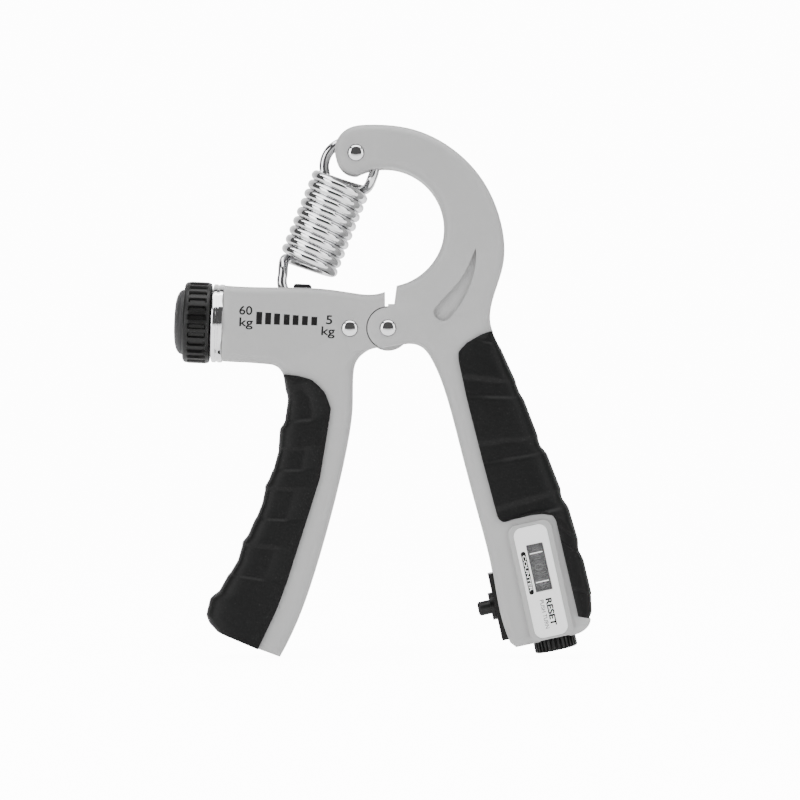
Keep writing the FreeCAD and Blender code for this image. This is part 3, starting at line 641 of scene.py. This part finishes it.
class GRIP_OT_rivets(bpy.types.Operator):
    """Chrome rivets: a shank across the levers between two shallow domed heads"""
    bl_idname = "grip.rivets"
    bl_label = "Rivets"

    def execute(self, context):
        angle = np.linspace(0, np.pi / 2, 12)
        dome = [(10.1 + 0.9 * np.sin(a), 2.38 * np.cos(a) ** 0.8 + 0.01) for a in angle]
        profile = [(-s, r) for s, r in dome[::-1]] + [(-10.1, 1.95), (10.1, 1.95)] + dome
        pins = (("pivot_pin", "arch_lever", (0, 0)), ("spring_pin", "arch_lever", SPRING_PIN),
                ("screw_end_pin", "barrel_lever", SCREW_PIN))
        for name, body, place in pins:
            piece = turned_across(name + "_rivet", profile, spot([place])[0])
            dressed(piece, "chrome", body, name)
        return {"FINISHED"}


# ---- Printing, label and counter ----
def rounded(spans, radius, per_corner=8, per_side=10):
    """Loop of (u, v) points round a rectangle with rounded corners."""
    u_from, u_to, v_from, v_to = spans
    turn = np.linspace(0, np.pi / 2, per_corner)
    corners = [(u_to - radius, v_to - radius), (u_from + radius, v_to - radius),
               (u_from + radius, v_from + radius), (u_to - radius, v_from + radius)]
    loop = []
    for k, (u, v) in enumerate(corners):
        angle = turn + k * np.pi / 2
        arc = np.stack([u + radius * np.cos(angle), v + radius * np.sin(angle)], axis=1)
        follow = np.array(corners[(k + 1) % 4]) + radius * np.array([np.cos(angle[-1]), np.sin(angle[-1])])
        step = np.linspace(0, 1, per_side + 1, endpoint=False)[1:, None]
        loop += [arc, arc[-1] * (1 - step) + follow * step]
    return np.concatenate(loop)


def shrunk(spans, by):
    """The rectangle with every side moved inwards by the same distance."""
    return spans[0] + by, spans[1] - by, spans[2] + by, spans[3] - by


def counter_spot(flat, y):
    """(u, v) points in millimetres from the counter's axis, down the handle and out across it, at depth y."""
    flat = np.asarray(flat, float).reshape(-1, 2)
    root = COUNTER_ROOT * np.array([1.0, 0, 1.0])
    return root + MM * (flat[:, :1] * COUNTER_AXIS + flat[:, 1:] * BUTTON_AXIS + y * BACK)


def ring_plate(name, rings):
    """A plate with an opening: loops of (u, v) points with their depths, joined round to the first."""
    points = np.stack([counter_spot(loop, y) for loop, y in rings])
    rows, columns = points.shape[:2]
    piece = mesh_object(name, points.reshape(-1, 3), grid_faces(rows, columns, wrap_rows=True))
    tidy_normals(piece)
    return piece


def lettering(name, text, corner, along, up, width, height, body, thickness=0.03, bold=0.0):
    """Raised generic lettering: a text turned into a mesh, laid from its lower left corner."""
    curve = bpy.data.curves.new(name, "FONT")
    curve.body = text
    curve.extrude = 0.5
    curve.offset = bold
    curve.resolution_u = 4
    source = bpy.data.objects.new(name + "_text", curve)
    bpy.context.scene.collection.objects.link(source)
    mesh = bpy.data.meshes.new_from_object(source.evaluated_get(bpy.context.evaluated_depsgraph_get()))
    bpy.data.objects.remove(source)
    bpy.data.curves.remove(curve)
    points = np.zeros(len(mesh.vertices) * 3)
    mesh.vertices.foreach_get("co", points)
    points = points.reshape(-1, 3)
    flat = points[:, :2] - points[:, :2].min(axis=0)
    flat *= np.array([width, height]) / flat.max(axis=0)
    depth = np.where(points[:, 2:] > 0, -thickness, 0.0)
    placed = corner + MM * (flat[:, :1] * along + flat[:, 1:] * up + depth * BACK)
    mesh.vertices.foreach_set("co", placed.ravel())
    mesh.update()
    piece = bpy.data.objects.new(name, mesh)
    bpy.context.scene.collection.objects.link(piece)
    tidy_normals(piece)
    return dressed(piece, "ink", body, slot="counter_black")


def slab(name, loops):
    """A solid stack of loops of points, closed at both ends."""
    return closed_tube(name, np.stack(loops))


def counter_word(name, text, corner, y, width, height, thickness, bold=0.0):
    """A word on the counter that reads down the handle, from its lower left corner at depth y."""
    place = counter_spot([corner], y)[0]
    return lettering(name, text, place, COUNTER_AXIS, BUTTON_AXIS, width, height, "arch_lever", thickness,
                     bold)


class GRIP_OT_scale(bpy.types.Operator):
    """Printed load scale on the barrel: heaviest and lightest figures and seven bars"""
    bl_idname = "grip.scale"
    bl_label = "Load scale"

    def execute(self, context):
        along = -unit(BARREL_AXIS)
        up = np.cross(along, BACK)
        face = -BODY_HALF - 0.01
        words = (("scale_high", "60", (-43.2, 3.9), 3.8, 2.6),
                 ("scale_high_unit", "kg", (-43.2, -0.3), 3.9, 3.4),
                 ("scale_low", "5", (-18.0, 1.1), 1.8, 2.6),
                 ("scale_low_unit", "kg", (-19.4, -2.9), 3.9, 3.4))
        for name, text, corner, width, height in words:
            place = spot([corner], face)[0]
            lettering(name, text, place, along, up, width, height, "barrel_lever", bold=0.012)
        for k, start in enumerate((-38.3, -35.7, -33.1, -30.3, -27.7, -25.0, -22.3)):
            height = 3.6 - 0.19 * k
            low = spot([(start, 1.1 - 0.05 * k)], face)[0]
            flat = np.array([[0, 0], [1.7, 0], [1.7, height], [0, height]])
            corners = low + MM * (flat @ np.stack([along, up]))
            bar = slab(f"scale_bar_{k + 1}", [corners, corners - 0.03 * MM * BACK])
            dressed(bar, "ink", "barrel_lever", slot="counter_black")
        return {"FINISHED"}


class GRIP_OT_counter(bpy.types.Operator):
    """Repetition counter: cover, label, lettering, clear window and the figures on the wheels"""
    bl_idname = "grip.counter"
    bl_label = "Counter"

    def execute(self, context):
        well, opening = rounded(shrunk(LABEL, -0.06), 2.5), rounded(WINDOW, 0.3)
        outline, inner = rounded(COVER, 2.5), rounded(shrunk(COVER, 2.2), 1.0)
        plate = ring_plate("cover_plate", [
            (outline, COVER_BACK), (outline, -11.2), (rounded(shrunk(COVER, 0.06), 2.45), -11.45),
            (rounded(shrunk(COVER, 0.2), 2.35), -11.62), (rounded(shrunk(COVER, 0.45), 2.2), COVER_FRONT),
            (well, COVER_FRONT), (well, LABEL_SEAT), (opening, LABEL_SEAT), (opening, -9.9),
            (inner, -9.9), (inner, COVER_BACK)])
        dressed(plate, "body_plastic", "arch_lever", "counter_cover")
        sheet = ring_plate("label_plate", [
            (rounded(LABEL, 2.45), LABEL_SEAT), (rounded(LABEL, 2.45), -11.62),
            (rounded(shrunk(LABEL, 0.08), 2.4), LABEL_FRONT),
            (rounded(shrunk(WINDOW, -0.5), 0.5), LABEL_FRONT),
            (rounded(shrunk(WINDOW, -0.12), 0.3), -11.62), (rounded(WINDOW, 0.25), LABEL_SEAT)])
        dressed(sheet, "label_plastic", "arch_lever", "counter_label")
        glass = rounded(shrunk(WINDOW, 0.02), 0.25)
        pane = slab("window_pane", [counter_spot(glass, PANE_BACK), counter_spot(glass, -11.14),
                                    counter_spot(rounded(shrunk(WINDOW, 0.1), 0.2), PANE_FRONT)])
        dressed(pane, "lens", "arch_lever", "counter_window")
        for k, middle in enumerate((-4.3, 4.2)):
            edges = rounded((middle - 0.16, middle + 0.16, -1.9, 1.9), 0.1)
            line = slab(f"window_line_{k + 1}", [counter_spot(edges, y) for y in (PANE_FRONT, -11.22)])
            dressed(line, "label_plastic", "arch_lever")
        pill = rounded((-5.4, 7.3, -4.45, -3.05), 0.65)
        dark = slab("name_pill", [counter_spot(pill, y) for y in (LABEL_FRONT, COVER_FRONT)])
        dressed(dark, "ink", "arch_lever", slot="counter_black")
        name = counter_word("counter_name", "COUNTER", (-4.3, -4.2), COVER_FRONT, 10.6, 0.95, 0.02, 0.02)
        name.data.materials[0] = bpy.data.materials["label_plastic_finish"]
        counter_word("reset_word", "RESET", (9.3, -0.3), LABEL_FRONT, 8.0, 1.8, 0.03, 0.03)
        counter_word("push_turn_word", "PUSH TURN", (9.4, -2.0), LABEL_FRONT, 8.4, 1.15, 0.03)
        for body in ("units", "tens", "hundreds"):
            low, high = (np.array(corner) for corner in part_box(body + "_wheel"))
            number_ring(body, (low + high) / 2, (high[1] - low[1]) / 2)
        return {"FINISHED"}


def number_ring(body, middle, radius):
    """Ten figures round a number wheel, nought to the front, each on its tenth of the rim."""
    for digit in range(10):
        piece = lettering(f"{body}_{digit}", str(digit), np.zeros(3), np.array([1.0, 0, 0]), UP,
                          FIGURE_WIDTH, FIGURE_HEIGHT, body)
        points = np.zeros(len(piece.data.vertices) * 3)
        piece.data.vertices.foreach_get("co", points)
        points = points.reshape(-1, 3)
        angle = np.radians(36 * digit) + (points[:, 2:] - FIGURE_HEIGHT / 2 * MM) / radius
        reach = radius - points[:, 1:2] + 0.005 * MM
        placed = middle + (points[:, :1] - FIGURE_WIDTH / 2 * MM) * COUNTER_AXIS
        placed = placed + reach * (np.sin(angle) * BUTTON_AXIS - np.cos(angle) * BACK)
        piece.data.vertices.foreach_set("co", placed.ravel())
        piece.data.update()
        piece.data.materials[0] = bpy.data.materials["digit_ink_finish"]


def small_spring(name, centre, axis, start, end, coil, thick, turns):
    """A little helical spring along an axis, distances in millimetres."""
    side = np.cross(axis, BACK)
    angle = np.linspace(0, 2 * np.pi * turns, 24 * turns + 1)[:, None]
    along = np.linspace(start, end, len(angle))[:, None]
    path = centre + MM * (along * axis + coil * (np.cos(angle) * side + np.sin(angle) * BACK))
    return wire(name, path, np.full(len(path), thick * MM), 10)


class GRIP_OT_buttons(bpy.types.Operator):
    """Count button with its spring, the reset knob's spring and the ribbed reset knob"""
    bl_idname = "grip.buttons"
    bl_label = "Count button and reset knob"

    def execute(self, context):
        centre = counter_spot([(BUTTON_PLACE, 0.0)], 0.0)[0]
        tip = [(-19.9, 0.05), (-19.88, 1.2), (-19.75, 1.7), (-19.5, 1.98), (-19.1, 2.1), (-12.95, 2.1),
               (-12.95, 3.1), (-11.9, 3.1), (-11.9, 1.4), (-5.2, 1.4)]
        plunger = turned("count_plunger", tip, centre, BUTTON_AXIS, segments=48)
        dressed(plunger, "counter_black", "count_button", "count_button")
        coil = small_spring("button_coil", centre, BUTTON_AXIS, -11.6, -7.1, 2.2, 0.3, 5)
        dressed(coil, "steel", "arch_lever", "button_spring")
        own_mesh(coil)
        coil = small_spring("reset_coil", COUNTER_ROOT, COUNTER_AXIS, 12.5, 16.0, 1.75, 0.25, 4)
        dressed(coil, "steel", "arch_lever", "reset_spring")
        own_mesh(coil)
        profile = [(21.0, 5.2), (21.0, 5.9, 0.5), (21.25, 6.25, 1), (24.2, 6.3, 1), (24.6, 6.1, 0.6),
                   (24.8, 5.6), (24.8, 4.6), (24.5, 4.3), (24.5, 0.05)]
        knob = turned("reset_thumb_knob", profile, COUNTER_ROOT, COUNTER_AXIS, 30, 0.5, 480)
        dressed(knob, "counter_black", "reset", "reset_knob")
        return {"FINISHED"}


# ---- Studio ----
def area_light(name, place, aim, size, power):
    """A rectangular white lamp that faces the aim."""
    lamp = bpy.data.lights.new(name, "AREA")
    lamp.shape = "RECTANGLE"
    lamp.size, lamp.size_y = size
    lamp.energy = power
    holder = bpy.data.objects.new(name, lamp)
    holder.location = place
    way = Vector(aim) - Vector(place)
    holder.rotation_euler = way.to_track_quat("-Z", "Y").to_euler()
    bpy.context.scene.collection.objects.link(holder)


def white_stage(material_name):
    """White diffuse whose glow is strong to the camera and faint to everything that it would light."""
    material = bpy.data.materials.new(material_name)
    material.use_nodes = True
    shader = material.node_tree.nodes["Principled BSDF"]
    shader.inputs["Base Color"].default_value = (0.9, 0.9, 0.9, 1)
    shader.inputs["Roughness"].default_value = 0.9
    shader.inputs["Emission Color"].default_value = (1, 1, 1, 1)
    path = material.node_tree.nodes.new("ShaderNodeLightPath")
    glow = material.node_tree.nodes.new("ShaderNodeMapRange")
    glow.inputs["To Min"].default_value = 0.45
    glow.inputs["To Max"].default_value = 12.0
    material.node_tree.links.new(path.outputs["Is Camera Ray"], glow.inputs["Value"])
    material.node_tree.links.new(glow.outputs["Result"], shader.inputs["Emission Strength"])
    return material


class GRIP_OT_stage(bpy.types.Operator):
    """Pale floor running up into a sweep, soft lights, dim surroundings and the camera"""
    bl_idname = "grip.stage"
    bl_label = "Stage"

    def execute(self, context):
        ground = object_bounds()[0][2] - 0.5 * MM
        rise = np.linspace(0, np.pi / 2, 24)
        back, radius = 0.9, 0.5
        outline = [(-3.0, 0.0), (-1.0, 0.0)]
        outline += [(back + radius * np.sin(a), radius * (1 - np.cos(a))) for a in rise]
        outline += [(back + radius, 2.6)]
        across = np.linspace(-3.5, 3.5, 9)
        points = np.array([[(x, y, ground + z) for x in across] for y, z in outline])
        floor = mesh_object("floor_sweep", points.reshape(-1, 3),
                            grid_faces(len(outline), len(across), wrap_columns=False))
        floor.data.materials.append(white_stage("floor_white"))
        floor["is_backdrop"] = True
        aim = PIVOT + MM * np.array([3.5, 0, -20.9])
        area_light("overhead_softbox", (0.0, -0.25, 0.95), aim, (1.3, 0.9), 15)
        area_light("left_softbox", (-0.95, -0.75, 0.3), aim, (0.7, 1.0), 9)
        area_light("right_softbox", (0.95, -0.75, 0.3), aim, (0.7, 1.0), 6)
        area_light("sweep_light", (0.0, 0.25, 1.3), (0.0, 1.3, 0.0), (2.0, 0.5), 10)
        world = bpy.data.worlds.new("dim_room")
        world.use_nodes = True
        world.node_tree.nodes["Background"].inputs["Color"].default_value = (0.1, 0.1, 0.1, 1)
        world.node_tree.nodes["Background"].inputs["Strength"].default_value = 1.0
        context.scene.world = world
        lens = bpy.data.cameras.new("front_camera")
        lens.sensor_width = 36
        lens.lens = 186
        lens.clip_end = 20
        camera = bpy.data.objects.new("front_camera", lens)
        camera.location = aim + np.array([0, -1.21, 0])
        camera.rotation_euler = (np.pi / 2, 0, 0)
        context.scene.collection.objects.link(camera)
        context.scene.camera = camera
        return {"FINISHED"}


class GRIP_PT_panel(bpy.types.Panel):
    """Sidebar panel with the sizes, the colours and every step"""
    bl_idname = "GRIP_PT_panel"
    bl_label = "Hand grip strengthener"
    bl_space_type = "VIEW_3D"
    bl_region_type = "UI"
    bl_category = "Grip"

    def draw(self, context):
        for group in (context.scene.grip_sizes, context.scene.grip_colours):
            for name in group.__annotations__:
                self.layout.prop(group, name)
        for step in STEPS:
            self.layout.operator(step.bl_idname)


STEPS = (GRIP_OT_finishes, GRIP_OT_palm_grip, GRIP_OT_finger_grip, GRIP_OT_spring, GRIP_OT_knob,
         GRIP_OT_lead_screw, GRIP_OT_rivets, GRIP_OT_scale, GRIP_OT_counter, GRIP_OT_buttons, GRIP_OT_stage)
CLASSES = (GripSizes, GripColours) + STEPS + (GRIP_PT_panel,)


def register():
    for part in CLASSES:
        bpy.utils.register_class(part)
    bpy.types.Scene.grip_sizes = bpy.props.PointerProperty(type=GripSizes)
    bpy.types.Scene.grip_colours = bpy.props.PointerProperty(type=GripColours)


def unregister():
    del bpy.types.Scene.grip_colours
    del bpy.types.Scene.grip_sizes
    for part in reversed(CLASSES):
        bpy.utils.unregister_class(part)


def main():
    register()
    bpy.ops.grip.finishes()
    bpy.ops.grip.palm_grip()
    bpy.ops.grip.finger_grip()
    bpy.ops.grip.spring()
    bpy.ops.grip.knob()
    bpy.ops.grip.lead_screw()
    bpy.ops.grip.rivets()
    bpy.ops.grip.scale()
    bpy.ops.grip.counter()
    bpy.ops.grip.buttons()
    bpy.ops.grip.stage()


if __name__ == "__main__":
    main()
